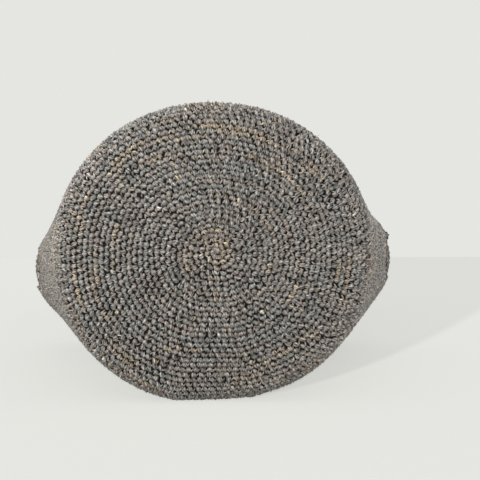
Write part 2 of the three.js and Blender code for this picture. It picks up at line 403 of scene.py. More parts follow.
def strand_faces(rings, sides):
    """One strand's faces: corners in a row, corner counts and each corner's place along and round it."""
    loops, sizes, places = [], [], []
    far = 1 + (rings - 1) * sides
    ends = 1 / (rings + 1)
    for side in range(sides):
        after = (side + 1) % sides
        low, high = side / sides, (side + 1) / sides
        middle = (low + high) / 2
        loops += [0, 1 + after, 1 + side]
        places += [(0, middle), (ends, high), (ends, low)]
        loops += [far + sides, far + side, far + after]
        places += [(1, middle), (1 - ends, low), (1 - ends, high)]
        sizes += [3, 3]
        for ring in range(rings - 1):
            here = 1 + ring * sides
            near_end, far_end = (ring + 1) * ends, (ring + 2) * ends
            loops += [here + side, here + after, here + sides + after, here + sides + side]
            places += [(near_end, low), (near_end, high), (far_end, high), (far_end, low)]
            sizes.append(4)
    return np.array(loops), np.array(sizes), np.array(places)


def add_strands(name, group, material, rings=4, sides=4, crinkle=0.08):
    """One object of many strands."""
    count = len(group["centre"])
    cells = MAP_CELLS[material.name]
    assert count <= cells**2, name
    ring_places = -np.cos(math.pi * np.arange(1, rings + 1) / (rings + 1))
    places = np.concatenate([[-1], np.repeat(ring_places, sides), [1]])
    turn = np.concatenate([[0], np.tile(np.arange(sides), rings), [0]]) * 2 * math.pi / sides
    cosine, sine = np.cos(turn)[None, :, None], np.sin(turn)[None, :, None]
    swell = np.sqrt(np.maximum(1 - np.abs(places) ** STRAND_ROUNDING, 0))
    along = unit(group["along"])
    across = unit(np.cross(group["up"], along))
    up = np.cross(along, across)
    length, width, height, bend, dive = (group[key][:, None, None] for key in STRAND_KEYS[3:8])
    arch = (1 - places**2)[None, :, None]
    fat = swell[None, :, None] * (1 + crinkle * jitter(1, (count, len(places), 1))) / 2
    points = (
        group["centre"][:, None]
        + along[:, None] * length / 2 * places[None, :, None]
        + across[:, None] * (bend * arch + fat * width * cosine)
        + up[:, None] * (fat * height * sine - dive * (1 - arch))
    )
    points = points.reshape(-1, 3)
    points[:, 2] = np.maximum(points[:, 2], CLEARANCE)
    loops, sizes, spots = strand_faces(rings, sides)
    first = np.arange(count) * len(places)
    made = add_object(name, points, (loops[None] + first[:, None]).ravel(), np.tile(sizes, count), material)
    cell = np.stack([np.arange(count) % cells, np.arange(count) // cells], 1)
    spots = cell[:, None] + CELL_MARGIN + (1 - 2 * CELL_MARGIN) * spots[None]
    set_uv(made, "OFBake", (spots / cells).reshape(-1, 2))
    # Painted shade toward the strand's ends, multiplied into its colour
    shade = 1 - END_PAINTED_SHADE * places**2
    set_colour(made, (group["colour"][:, None] * shade[None, :, None]).reshape(-1, 3))
    return made


# Colours of the yarn

DYED_GREY = linear("#918f8a")
DYED_TAUPE = linear("#968d85")
DARK_GREY = linear("#6e6965")
PALE_GREY = linear("#b9b5af")
BARE_TAN = linear("#ab9a84")
BARE_STRAW = linear("#cbbd9f")

# Shares of all strands that are tan, straw and pale, and how much larger the first two get on a bare run
TAN_SHARE = 0.03
TAN_ON_RUN = 0.5
STRAW_SHARE = 0.004
STRAW_ON_RUN = 0.05
PALE_SHARE = 0.06


def smoothed(count, width):
    """Random numbers of spread 1 that change slowly along the yarn, over about width stitches."""
    window = np.hanning(2 * width + 1)
    raw = np.convolve(jitter(1, count + 2 * width), window, "same")[width : width + count]
    return raw / np.sqrt((window**2).sum())


def yarn_colours(count):
    """A colour for each stitch in the order of work, and how likely its strands are to be undyed."""
    warm = smooth(0.5 + 0.2 * smoothed(count, 50) + 0.3 * smoothed(count, 3))[:, None]
    colour = mix(DYED_GREY, DYED_TAUPE, warm)
    colour = mix(colour, DARK_GREY, 0.4 * smooth(0.8 * smoothed(count, 4) - 0.5)[:, None])
    bare = smooth(1.1 * smoothed(count, 5) + 0.5 * smoothed(count, 70) - 1.1)
    return np.column_stack([mix(colour, BARE_TAN, 0.3 * bare[:, None]), bare])


def strand_colours(yarn, spread=0.2):
    """Colours of one strand of each stitch. Each took the grey dye differently, and some hardly at all."""
    count = len(yarn)
    colour, bare = yarn[:, :3], yarn[:, 3]
    luck = RNG.random(count)
    colour = np.where((luck < TAN_SHARE + TAN_ON_RUN * bare)[:, None], mix(colour, BARE_TAN, 0.7), colour)
    colour = np.where((luck < STRAW_SHARE + STRAW_ON_RUN * bare)[:, None], BARE_STRAW, colour)
    colour = np.where((luck > 1 - PALE_SHARE)[:, None], mix(colour, PALE_GREY, 0.6), colour)
    return colour * np.exp(jitter(spread, (count, 1)))


# Stitches

ROW_OFFSET = 0.25

# A stitch's strands: place round the bag, lean, length, width, height, rise and spread of colour. Five lie
# side by side as a round knot, and a thin one slants the other way between it and the next.
STRANDS_IN_STITCH = (
    (-1.7, 0.2, 5.3, 1.8, 2.2, -0.1, 0.14),
    (-0.9, 0.25, 6.0, 2.0, 2.6, 0.4, 0.14),
    (0.0, 0.3, 6.35, 2.1, 2.9, 0.65, 0.14),
    (0.9, 0.3, 6.0, 2.0, 2.6, 0.4, 0.14),
    (1.7, 0.35, 5.3, 1.8, 2.2, -0.1, 0.14),
    (3.2, -0.6, 5.0, 1.5, 2.0, 0.4, 0.2),
)
STITCH_DIVE = 1.15

# How much whole stitches differ from one another, and then the strands in them
ALIKE_SHARE = 0.97
STITCH_TURN = 0.15
STITCH_SHIFT = 0.2
STITCH_RISE = 0.14
STRAND_TURN = 0.06
STRAND_ASIDE = 0.07
STRAND_SLIDE = 0.12
STRAND_RISE = 0.06
STRAND_TILT = 0.2
STRAND_LENGTH = 0.35
STRAND_WIDTH = 0.2
STRAND_HEIGHT = 0.15
STRAND_BEND = 0.25


def stitch_legs(point, around, away, out, yarn, size=1.0, rise=1.0):
    """The strands of each stitch. A few stitches are worked the other way round."""
    count = len(point)
    hand = np.where(RNG.random(count) < ALIKE_SHARE, 1.0, -1.0)
    turn = jitter(STITCH_TURN, count)
    shift = jitter(STITCH_SHIFT, (2, count))
    height_shift = jitter(STITCH_RISE, count)
    legs = []
    for place, lean, length, width, height, lift, spread in STRANDS_IN_STITCH:
        angle = hand * lean + turn + jitter(STRAND_TURN, count)
        along = away * np.cos(angle)[:, None] + around * np.sin(angle)[:, None]
        offset = size * hand * place + shift[0] + jitter(STRAND_ASIDE, count)
        slide = shift[1] + jitter(STRAND_SLIDE, count)
        centre = point + around * offset[:, None] + away * slide[:, None]
        centre = centre + out * (rise * (lift + height_shift + jitter(STRAND_RISE, count)))[:, None]
        legs.append(strand_group(
            centre, along, out + STRAND_TILT * jitter(1, (count, 3)),
            length=size * (length + jitter(STRAND_LENGTH, count)),
            width=size * (width + jitter(STRAND_WIDTH, count)),
            height=size * (height + jitter(STRAND_HEIGHT, count)),
            bend=jitter(STRAND_BEND, count), dive=STITCH_DIVE, colour=strand_colours(yarn, spread),
        ))
    return join(legs)


def row_places(count, row):
    """Even places in a row, half a place further on in every second row."""
    return np.arange(count) + (ROW_OFFSET if row % 2 else -ROW_OFFSET)


def first_knot():
    """The three strands that close the middle, where the first round was drawn tight."""
    point, around, _, out = skin_frame(0.5, np.array([0.4, 2.5, 4.6]), STITCH_DEPTH)
    return strand_group(point, around, out, length=4.2, width=1.5, height=1.6, dive=0.8, colour=DYED_GREY)


FIRST_STITCHES = 6
SPIRAL_START = 0.4


def spiral_turns(last):
    """Every stitch's place along the spiral, in turns. A stitch is worked between two of the round before.
    Now and then two are worked in one place, so that the stitches keep their width as the rounds grow."""
    turns = list(SPIRAL_START + np.arange(FIRST_STITCHES + 1) / FIRST_STITCHES)
    spare = 0.0
    below = 0
    while turns[-1] < last:
        low, high = turns[below] + 1, turns[below + 1] + 1
        spare += (high - low) * ring_length(ROUND_PITCH * low) / STITCH_PITCH - 1
        limit = RNG.uniform(0.3, 0.7)
        extra = 1 if spare > limit else -1 if spare < -limit else 0
        spare -= extra
        turns.extend(low + (high - low) * (np.arange(1 + extra) + 0.5) / (1 + extra) if extra > -1 else [])
        below += 1
    turns = np.array(turns)
    for _ in range(3):
        turns[1:-1] += 0.3 * ((turns[:-2] + turns[2:]) / 2 - turns[1:-1])
    return turns


# Materials


def add_node(owner, kind, links=(), **settings):
    """Adds a shader node to a material or the world. A setting is an attribute of the node or else one of its
    inputs, and links are pairs of an output socket and the name or number of the input that it feeds."""
    node = owner.node_tree.nodes.new(f"ShaderNode{kind}")
    for key, value in settings.items():
        if hasattr(node, key):
            setattr(node, key, value)
        else:
            node.inputs[key.replace("_", " ")].default_value = value
    for source, target in links:
        owner.node_tree.links.new(source, node.inputs[target])
    return node


def new_material(name, **shader):
    """A material with one Principled shader, whose settings are given by name."""
    material = bpy.data.materials.new(name)
    material.use_nodes = True
    principled = material.node_tree.nodes["Principled BSDF"]
    for key, value in shader.items():
        principled.inputs[key.replace("_", " ")].default_value = value
    return material


def feed(material, source, name):
    """Feeds an output socket into the named input of the material's Principled shader."""
    tree = material.node_tree
    tree.links.new(source, tree.nodes["Principled BSDF"].inputs[name])


def add_noise(material, place, scale, detail):
    return add_node(material, "TexNoise", [(place, "Vector")], Scale=scale, Detail=detail).outputs[0]


def add_wave(material, place, **settings):
    return add_node(material, "TexWave", [(place, "Vector")], **settings).outputs[1]


def add_math(material, operation, first, second):
    return add_node(material, "Math", [(first, 0), (second, 1)], operation=operation).outputs[0]


def add_range(material, value, span, result):
    """A value's span, from its low to its high end, turned into a result's."""
    return add_node(material, "MapRange", [(value, "Value")], From_Min=span[0], From_Max=span[1],
                    To_Min=result[0], To_Max=result[1]).outputs[0]


def colour_between(material, share, dark, light):
    """Makes the material's colour a mixture of two."""
    colours = add_node(material, "Mix", [(share, "Factor")], data_type="RGBA")
    colours.inputs[6].default_value = (*linear(dark), 1)
    colours.inputs[7].default_value = (*linear(light), 1)
    feed(material, colours.outputs[2], "Base Color")


def add_bump(material, height, strength, depth):
    """Fine relief up to a depth in millimetres."""
    bump = add_node(material, "Bump", [(height, "Height")], Strength=strength, Distance=depth * MM)
    feed(material, bump.outputs[0], "Normal")


def map_place(material, name):
    return add_node(material, "UVMap", uv_map=name).outputs[0]


def strand_place(material, **settings):
    """Places on the map of strands, scaled and turned."""
    return add_node(material, "Mapping", [(map_place(material, "OFBake"), "Vector")], **settings).outputs[0]


def object_place(material):
    return add_node(material, "TexCoord").outputs["Object"]


def raffia_material(name):
    """Dyed raffia: split palm leaf, papery and a little waxy, with grain along each strand. The grain is
    about 0.4 mm wide on the leaf and drawn at about 1 mm, so that it shows."""
    material = new_material(name, Roughness=0.6, Sheen_Weight=0.08, Sheen_Roughness=0.4)
    cells = MAP_CELLS[name]
    stretched = strand_place(material, Scale=(cells * 2, cells * 3.5, 1))
    grain = add_noise(material, stretched, scale=1, detail=2)
    # This colour holds the yarn's tone and painted shade: darker strand ends and darker last rounds
    yarn = add_node(material, "Attribute", attribute_name="YarnAndPaintedShade").outputs["Color"]
    tone = add_range(material, grain, (0.38, 0.62), (0.1, 1.95))
    tinted = add_node(material, "VectorMath", [(yarn, 0), (tone, 1)], operation="MULTIPLY")
    feed(material, tinted.outputs[0], "Base Color")
    feed(material, add_range(material, grain, (0.3, 0.7), (0.8, 0.35)), "Roughness")
    add_bump(material, grain, strength=0.8, depth=0.9)
    return material


def painted_shade_core_material():
    """The inner side of the crochet, seen only through its holes: the same raffia, coloured near-black as
    painted shade, with a faint mottle.
    """
    material = new_material("raffia_inner_layer_painted_shade", Roughness=0.9)
    shade_mottle = add_noise(material, object_place(material), scale=1 / (3 * MM), detail=2)
    colour_between(material, shade_mottle, "#100f0d", "#25221f")
    add_bump(material, shade_mottle, strength=0.6, depth=0.6)
    return material


def cotton_material():
    """Natural plain-weave cotton, soft and matt. Its threads are about 0.5 mm apart and drawn 1.1 mm apart,
    so that the weave shows."""
    material = new_material("cotton_plain_weave", Roughness=0.9, Sheen_Weight=0.15, Sheen_Roughness=0.5)
    place = map_place(material, "Cloth")
    across, down = (add_wave(material, place, Scale=0.143, Distortion=0.4, bands_direction=axis)
                    for axis in "XY")
    weave = add_math(material, "MULTIPLY", across, down)
    slubs = add_noise(material, place, scale=0.12, detail=4)
    shade = add_math(material, "ADD", weave, slubs)
    colour_between(material, add_range(material, shade, (0, 1.5), (0, 1)), "#b7a98e", "#e2d8c4")
    add_bump(material, weave, strength=0.5, depth=0.2)
    return material


def thread_material(name, dark, light, roughness):
    """Twisted thread: the two plies show as fine slanted bands, about 0.6 mm apart and drawn 0.8 mm apart."""
    material = new_material(name, Roughness=roughness)
    cells = MAP_CELLS[name]
    slanted = strand_place(material, Scale=(cells, cells * 0.4, 1), Rotation=(0, 0, 0.6))
    plies = add_wave(material, slanted, Scale=1.6)
    colour_between(material, plies, dark, light)
    add_bump(material, plies, strength=0.5, depth=0.12)
    return material


def brass_material():
    """Antique brass: polished, then darkened, so the metal shines through unevenly."""
    material = new_material("antique_brass", Metallic=1.0, Roughness=0.35)
    tarnish = add_noise(material, object_place(material), scale=1 / (2.5 * MM), detail=4)
    colour_between(material, tarnish, "#8d7446", "#c2a56c")
    feed(material, add_range(material, tarnish, (0, 1), (0.5, 0.22)), "Roughness")
    return material


RAFFIA = raffia_material("dyed_raffia")
RAFFIA_INNER = raffia_material("dyed_raffia_inner_side")
RAFFIA_STRAP = raffia_material("dyed_raffia_strap")
RAFFIA_EDGING = raffia_material("dyed_raffia_edging")
RAFFIA_SMALL = raffia_material("dyed_raffia_ends")
# The inner layer's near-black colour is painted shade; the mouth's cord and the strap's inner layer wear it
# too
CORE_PAINTED_SHADE = painted_shade_core_material()
COTTON = cotton_material()
WAXED_THREAD = thread_material("waxed_linen_thread", "#3f3933", "#6b6156", 0.5)
SEWING_THREAD = thread_material("cotton_sewing_thread", "#a3957c", "#cbbfa6", 0.8)
SNAP_THREAD = thread_material("cotton_sewing_thread_patch", "#a3957c", "#cbbfa6", 0.8)
ANTIQUE_BRASS = brass_material()

# The crocheted shell

BASE_PIECES = 3
STITCHES_IN_PIECE = 840

# The last rounds before the mouth are darker, as painted shade over the wall's far end and the mouth's ends:
# how much, from how far before it and over what length
LAST_ROUNDS_PAINTED_SHADE = 0.12
PAINTED_SHADE_FROM = 110
PAINTED_SHADE_RUN = 80


def under_strap(reach, angle):
    """1 where the strap's sewn ends press the stitches down, and 0 elsewhere."""
    point = skin(reach, angle)
    beside = (np.abs(point[..., 2] - MOUTH_MIDDLE) < STRAP_WIDTH / 2) & (np.abs(np.cos(angle)) > 0.7)
    return np.where(beside & (point[..., 1] > HALF_LENGTH - SEWN_LENGTH - 2), 1.0, 0.0)


def crochet_shell():
    """All stitches of the base and the wall, worked in one spiral, then shared out among pieces."""
    last = MOUTH_REACH - ROUND_PITCH / 2
    turns = spiral_turns(last / ROUND_PITCH + 1)
    reach = turns * ROUND_PITCH
    turns, reach = turns[reach < last + ROUND_PITCH / 2], reach[reach < last + ROUND_PITCH / 2]
    reach = np.minimum(reach, last)
    angle = ring_angle(reach, turns + jitter(0.25, len(turns)) / ring_length(reach))
    colours = yarn_colours(len(turns))
    # Painted shade: the stitches of the last rounds before the mouth are darkened
    shaded = smooth((reach - MOUTH_REACH + PAINTED_SHADE_FROM) / PAINTED_SHADE_RUN)
    colours[:, :3] *= 1 - LAST_ROUNDS_PAINTED_SHADE * shaded[:, None]
    depth = STITCH_DEPTH + UNDER_STRAP_DEPTH * under_strap(reach, angle)
    on_base = int((reach < BASE_REACH).sum())
    wall_pieces = math.ceil((len(turns) - on_base) / STITCHES_IN_PIECE)
    cuts = [piece * on_base // BASE_PIECES for piece in range(BASE_PIECES)]
    cuts += np.linspace(on_base, len(turns), wall_pieces + 1).astype(int).tolist()
    for number, (start, end) in enumerate(zip(cuts[:-1], cuts[1:]), 1):
        part = slice(start, end)
        legs = stitch_legs(*skin_frame(reach[part], angle[part], depth[part]), colours[part])
        if number == 1:
            legs = join([legs, first_knot()])
        if number <= BASE_PIECES:
            name, node = f"base_stitches_{number}", "base_disc"
        else:
            name, node = f"wall_stitches_{number - BASE_PIECES}", "side_wall"
        finish_piece(add_strands(name, legs, RAFFIA), "raffia", node)


def crochet_core():
    """The closed inner layer under the stitches, so that no light shows through the shell."""
    reaches = np.append(np.arange(2, MOUTH_REACH - 1, 5), MOUTH_REACH - 0.6)[:, None]
    angles = round_angles(160)[None]
    outer = skin(reaches, angles, CORE_DEPTH)
    inner = skin(reaches, angles, CORE_DEPTH + CORE_THICKNESS)
    core = add_loft("crochet_inner_layer", two_sided(outer, inner), CORE_PAINTED_SHADE)
    finish_piece(core, "raffia", "base_disc", "side_wall")


# The rounds that show between the lining's hem and the mouth: how far each lies below the mouth, and how deep
INNER_ROUNDS = (9.6, 5.6, 1.9)
INNER_ROUND_DEPTH = WALL_THICKNESS - 1.1


def inner_rounds():
    """The inner side of the crochet near the mouth."""
    groups = []
    for number, below in enumerate(INNER_ROUNDS):
        reach = MOUTH_REACH - below
        count = round(ring_length(reach) / STITCH_PITCH)
        place = (np.arange(count) + number / 2 + jitter(0.06, count)) / count
        point, around, away, out = skin_frame(reach, ring_angle(reach, place), INNER_ROUND_DEPTH)
        groups.append(stitch_legs(point, -around, away, -out, yarn_colours(count), size=0.95))
    finish_piece(add_strands("mouth_inner_stitches", join(groups), RAFFIA_INNER), "raffia", "side_wall")


EDGING_RADIUS = 3.6
EDGING_PITCH = 4.6
EDGING_LEAN = 0.55
EDGING_TURN = 55


def edging_frame(angle):
    """The middle of the edging's cord, over the wall's end and clear of the floor, with the directions round
    the mouth, past it and outward."""
    point, around, away, out = skin_frame(MOUTH_REACH - 1, angle)
    middle = point - out * WALL_THICKNESS / 2 + away * (1 + CLEARANCE + EDGING_RADIUS)
    middle[..., 1] = HALF_LENGTH + CLEARANCE + EDGING_RADIUS
    middle[..., 2] = np.maximum(middle[..., 2], EDGING_RADIUS + CLEARANCE)
    return middle, around, away, out


def mouth_edging():
    """Crab stitch round the mouth: strands that wind slantwise over a cord, as on a rope."""
    count = round(ring_length(MOUTH_REACH) / EDGING_PITCH)
    place = (np.arange(count) + jitter(0.05, count)) / count
    middle, around, away, out = edging_frame(ring_angle(MOUTH_REACH, place))
    colours = yarn_colours(count)
    groups = []
    for turn in range(-35, 241, EDGING_TURN):
        angle = math.radians(turn)
        up = out * math.cos(angle) + away * math.sin(angle)
        over = away * math.cos(angle) - out * math.sin(angle)
        along = around * math.cos(EDGING_LEAN) + over * math.sin(EDGING_LEAN)
        slide = turn / EDGING_TURN * EDGING_PITCH * 0.5
        centre = middle + up * (EDGING_RADIUS - 1.3) + around * (slide % EDGING_PITCH)
        groups.append(strand_group(
            centre, along, up, length=8.0 + jitter(0.4, count), width=3.9 + jitter(0.25, count), height=2.4,
            dive=1.0, colour=strand_colours(colours),
        ))
    made = add_strands("mouth_edging_stitches", join(groups), RAFFIA_EDGING, rings=5, sides=6)
    finish_piece(made, "edging", "rim_edging")
    middle, _, away, out = edging_frame(round_angles(240))
    radius = EDGING_RADIUS - 1.6
    rings = [middle + radius * (out * math.cos(turn) + away * math.sin(turn)) for turn in round_angles(10)]
    core = add_loft("mouth_edging_cord", np.array(rings), CORE_PAINTED_SHADE, looped=True)
    finish_piece(core, "edging", "rim_edging")


# Shoulder strap

STRAP_LAYER = 0.7
STRAP_SAG = 5
STRAP_STEP = 0.5
STITCH_ROWS = 7
STRAP_ROW_PITCH = 5.3
STRAP_EDGE_INSET = 1.2
STRAP_EDGE_PITCH = 5.2
FREE_SIDE = MOUTH_HALF_WIDTH - SEAT_DEPTH + 4.6
LEAVING_RUN = 16
CUP_DEPTH = 4.0
STRAP_TILT = (math.asin(MOUTH_MIDDLE / math.hypot(STRAP_DROP, STRAP_WIDTH / 2))
              - math.atan2(STRAP_WIDTH / 2, STRAP_DROP))
TILT_START = -14
TILT_RUN = 40
RIPPLE_RUN = 60


def strap_line():
    """The strap's middle line before it is tilted, at even steps from its left end to its right one: the way
    along it, X, and the distance past the mouth, which is negative along the sewn ends."""
    past = np.arange(STRAP_STEP - SEWN_LENGTH, 0, STRAP_STEP)
    share = 1 + (past - CLEARANCE) / WALL_RUN
    seat = mix(BASE_HALF_WIDTH, MOUTH_HALF_WIDTH, share) - SEAT_DEPTH * seat_pull(share)
    leaving = smooth((past + LEAVING_RUN) / LEAVING_RUN)
    beside = mix(seat + STRAP_LAYER + STRAP_THICKNESS / 2, FREE_SIDE, leaving)
    turn = np.linspace(0, math.pi, 1601)
    arch_x = FREE_SIDE * signed_power(np.cos(turn), 2 / STRAP_FULLNESS)
    arch_past = (STRAP_DROP - STRAP_THICKNESS / 2) * np.abs(np.sin(turn)) ** (2 / STRAP_FULLNESS)
    x = np.concatenate([beside, arch_x, -beside[::-1]])
    past = np.concatenate([past, arch_past, past[::-1]])
    way = way_along(np.hypot(np.diff(x), np.diff(past)))
    even = np.arange(0, way[-1], STRAP_STEP)
    return even, np.interp(even, way, -x), np.interp(even, way, past)


STRAP_WAY, STRAP_X, STRAP_PAST = strap_line()
STRAP_LENGTH = STRAP_WAY[-1]


def strap_point(way):
    """X and the distance past the mouth, at a distance along the strap's middle line."""
    return np.array([np.interp(way, STRAP_WAY, line) for line in (STRAP_X, STRAP_PAST)])


def strap_frame(way, across, layer):
    """Points of the strap at a distance along it, across it and out from its middle, with the directions
    along, across and outward. The arms hang a little, and the band ripples slightly."""
    way, across, layer = np.broadcast_arrays(np.asarray(way, float), across, layer)
    x, past = strap_point(way)
    step = strap_point(np.minimum(way + 1, STRAP_LENGTH)) - strap_point(np.maximum(way - 1, 0))
    along_x, along_past = step / np.hypot(*step)
    waves = 1.1 * np.sin(way / 31 + across / 26) + 0.7 * np.sin(way / 17 - across / 15 + 1)
    lift = layer + smooth(past / RIPPLE_RUN) * waves - CUP_DEPTH * (2 * across / STRAP_WIDTH) ** 2
    x = x - lift * along_past
    past = past + lift * along_x
    tilt = -STRAP_TILT * smooth((past - TILT_START) / TILT_RUN)
    height = across - STRAP_SAG * np.sin(math.pi * np.clip(past / STRAP_DROP, 0, 1))
    y = HALF_LENGTH + past * np.cos(tilt) - height * np.sin(tilt)
    z = MOUTH_MIDDLE + past * np.sin(tilt) + height * np.cos(tilt) + MOUTH_TILT * x / MOUTH_HALF_WIDTH
    along = np.stack([along_x, along_past * np.cos(tilt), along_past * np.sin(tilt)], -1)
    out = np.stack([-along_past, along_x * np.cos(tilt), along_x * np.sin(tilt)], -1)
    wide = np.stack([np.zeros_like(x), -np.sin(tilt), np.cos(tilt)], -1)
    return np.stack([x, y, np.maximum(z, CLEARANCE)], -1), along, wide, out


def strap_face(name, face):
    """Rows of stitches along one face of the strap; face is 1 outside and -1 inside."""
    groups = []
    for row in range(STITCH_ROWS):
        count = round((STRAP_LENGTH - 4) / STITCH_PITCH)
        place = row_places(count, row) + 0.5 + jitter(0.06, count)
        way = 2 + place * (STRAP_LENGTH - 4) / count
        across = (row - (STITCH_ROWS - 1) / 2) * STRAP_ROW_PITCH
        point, along, wide, out = strap_frame(way, across, face * 0.75)
        groups.append(stitch_legs(point, along * face, wide, out * face, yarn_colours(count), rise=0.3))
    return add_strands(name, join(groups), RAFFIA_STRAP)


def strap_edges():
    """A chain of slanted strands over each long edge of the strap, and over its two sewn ends."""
    groups = []
    for edge in (1, -1):
        count = round(STRAP_LENGTH / STRAP_EDGE_PITCH)
        way = (np.arange(count) + 0.5 + jitter(0.07, count)) * STRAP_LENGTH / count
        point, along, wide, out = strap_frame(way, edge * (STRAP_WIDTH / 2 - STRAP_EDGE_INSET), 0)
        groups.append(strand_group(
            point, along + 0.5 * out, wide * edge, length=7.4 + jitter(0.3, count), width=3.2, height=2.4,
            dive=0.7, colour=strand_colours(yarn_colours(count)),
        ))
    across = np.linspace(-1, 1, 8) * (STRAP_WIDTH / 2 - 3)
    for end, outward in ((STRAP_EDGE_INSET, -1), (STRAP_LENGTH - STRAP_EDGE_INSET, 1)):
        point, along, wide, out = strap_frame(end, across, 0)
        groups.append(strand_group(
            point, wide + 0.5 * out, along * outward, length=6.6, width=3.2, height=2.2, dive=0.7,
            colour=strand_colours(yarn_colours(len(across))),
        ))
    return add_strands("strap_edge_chain", join(groups), RAFFIA_SMALL, rings=5, sides=6)


def shoulder_strap():
    pieces = [strap_face("strap_outer_stitches", 1), strap_face("strap_inner_stitches", -1), strap_edges()]
    ways = np.linspace(0.8, STRAP_LENGTH - 0.8, 330)[:, None]
    turn = round_angles(24)[None]
    across = (STRAP_WIDTH / 2 - STRAP_EDGE_INSET) * signed_power(np.cos(turn), 0.4)
    layer = 0.85 * signed_power(np.sin(turn), 0.4)
    pieces.append(add_loft("strap_inner_layer", strap_frame(ways, across, layer)[0], CORE_PAINTED_SHADE))
    for piece in pieces:
        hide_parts("shoulder_strap", "strap_end_left", "strap_end_right")
        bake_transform(piece)


THREAD_COLOUR = linear("#4f4842")
THREAD_ROWS = 3
THREADS_IN_ROW = 7
THREAD_ROW_START = 4
THREAD_ROW_PITCH = 5
THREAD_PITCH = 4.4


def strap_threads():
    """Waxed thread in three rows across each sewn end."""
    for word in ("left", "right"):
        groups = []
        for row in range(THREAD_ROWS):
            across = (row_places(THREADS_IN_ROW, row) - 3) * THREAD_PITCH
            way = THREAD_ROW_START + row * THREAD_ROW_PITCH
            way = way if word == "left" else STRAP_LENGTH - way
            point, along, wide, out = strap_frame(way, across, STRAP_THICKNESS / 2 + 0.75)
            groups.append(strand_group(
                point, wide + 0.12 * jitter(1, (THREADS_IN_ROW, 1)) * along, out, length=3.9, width=1.15,
                height=1.0, dive=0.8, colour=THREAD_COLOUR,
            ))
        made = add_strands(f"strap_thread_{word}", join(groups), WAXED_THREAD, rings=7, sides=8, crinkle=0)
        finish_piece(made, "thread", f"strap_stitching_{word}")


# Lining

LINING_DEPTH = 4.8
LINING_THICKNESS = 0.8
HEM_REACH = MOUTH_REACH - 12
HEM_FOLD = 13

POCKET_WIDTH = 150
POCKET_DEPTH = 120
POCKET_BELOW_EDGE = 70
POCKET_HEM = 12
CLOTH_GAP = 0.35
FOLD_RUN = 1.2

# Machine stitches
SEAM_THREAD = linear("#b8ab92")
STITCH_LENGTH = 2.6
STITCH_GAP = 3.4
STITCH_LIFT = 0.1


def lower_middle(x, y, z):
    """1 under the pocket and the snap's lower half, where the lining lies flat, fading to 0 round them."""
    beside = 1 - smooth((np.abs(x) - POCKET_WIDTH / 2 - 4) / 18)
    deep_end = smooth((y + POCKET_DEPTH / 2 + 22) / 18)
    return beside * deep_end * (z < 60)


def lining_skin(reach, angle, layer=0.0):
    """The lining's side toward the crochet, moved inward by layer. It is a little loose, so it lies in soft
    folds from the base to the hem, with small gathers at the base's seam."""
    plain = skin(reach, angle, LINING_DEPTH)
    share = np.clip((reach - BASE_REACH) / (MOUTH_REACH - BASE_REACH), 0, 1)
    beside_patch = 1 - smooth((np.abs(plain[..., 0]) - 18) / 12)
    held = np.maximum(lower_middle(*np.moveaxis(plain, -1, 0)), beside_patch * smooth(5 * share - 3))
    long_folds = np.sin(9 * angle + 1.6 * np.sin(3 * share + 1)) + 0.7 * np.sin(17 * angle - 2.2 * share + 2)
    folds = 1.1 * np.maximum(long_folds, 0) ** 1.3 * np.sin(math.pi * share) ** 0.7
    at_seam = np.exp(-np.abs(reach - BASE_REACH - 6) / 9)
    gathers = 0.9 * (1 + np.sin(61 * angle + 3 * np.sin(5 * angle))) * at_seam
    slack = (folds + gathers) * (1 - held) * smooth((HEM_REACH - reach) / 22)
    return skin(reach, angle, LINING_DEPTH + slack + layer)


def add_seam(name, lines, material, node):
    """Machine stitches along lines, each stitch between two points of its line. A line's points come with its
    direction away from the cloth, or with that of each stitch."""
    groups = []
    for points, up in lines:
        centre = (points[:-1] + points[1:]) / 2
        groups.append(strand_group(centre, unit(np.diff(points, axis=0)), up, length=STITCH_LENGTH, width=0.6,
                                   height=0.5, dive=0.25, colour=SEAM_THREAD))
    made = add_strands(name, join(groups), material, rings=3, sides=6, crinkle=0)
    return finish_piece(made, "lining", node)


def hem_stitches():
    reach = HEM_REACH - HEM_FOLD + 3
    count = round(ring_length(reach) / STITCH_GAP)
    angle = ring_angle(reach, np.arange(count + 1) / count)
    points = lining_skin(reach, angle, 2 * LINING_THICKNESS + STITCH_LIFT)
    inward = -skin_frame(reach, angle)[3][:-1]
    return add_seam("lining_hem_stitches", [(points, inward)], SEWING_THREAD, "lining_wall")


def lining():
    angles = round_angles(360)[None]
    hem_start = HEM_REACH - HEM_FOLD
    on_hem = np.linspace(hem_start + 0.6, HEM_REACH, 12)
    reaches = np.append(np.linspace(BASE_REACH, hem_start, 70), on_hem)[:, None]
    folded = smooth((reaches - HEM_REACH + HEM_FOLD) / FOLD_RUN)
    folded = folded - 0.5 * smooth((reaches - HEM_REACH + FOLD_RUN) / FOLD_RUN)
    outer = lining_skin(reaches, angles)
    inner = lining_skin(reaches, angles, LINING_THICKNESS * (1 + folded))
    wall = add_loft("lining_wall_cloth", two_sided(outer, inner), COTTON, looped=True, cloth="rings")
    finish_piece(wall, "lining", "lining_wall")
    hem = hem_stitches()
    reaches = np.linspace(1.5, BASE_REACH, 34)[:, None]
    inner = lining_skin(reaches, angles, LINING_THICKNESS)
    outer = lining_skin(reaches, angles)
    base = add_loft("lining_base_cloth", two_sided(inner, outer), COTTON, cloth="xz")
    finish_piece(base, "lining", "lining_base")


def over_lining(x, y, layer):
    """A grid of points over the lining's lower side, at each Y of a row and each X in it, raised by layer."""
    reach = (BASE_REACH + ROLL_REACH + y + HALF_LENGTH - EDGE_ROLL)[:, None]
    fine = np.linspace(-math.pi + 0.15, -0.15, 500)
    lines = lining_skin(reach, fine, LINING_THICKNESS)[..., 0]
    angle = np.stack([np.interp(x, line, fine) for line in lines])
    return lining_skin(reach, angle, LINING_THICKNESS + layer)


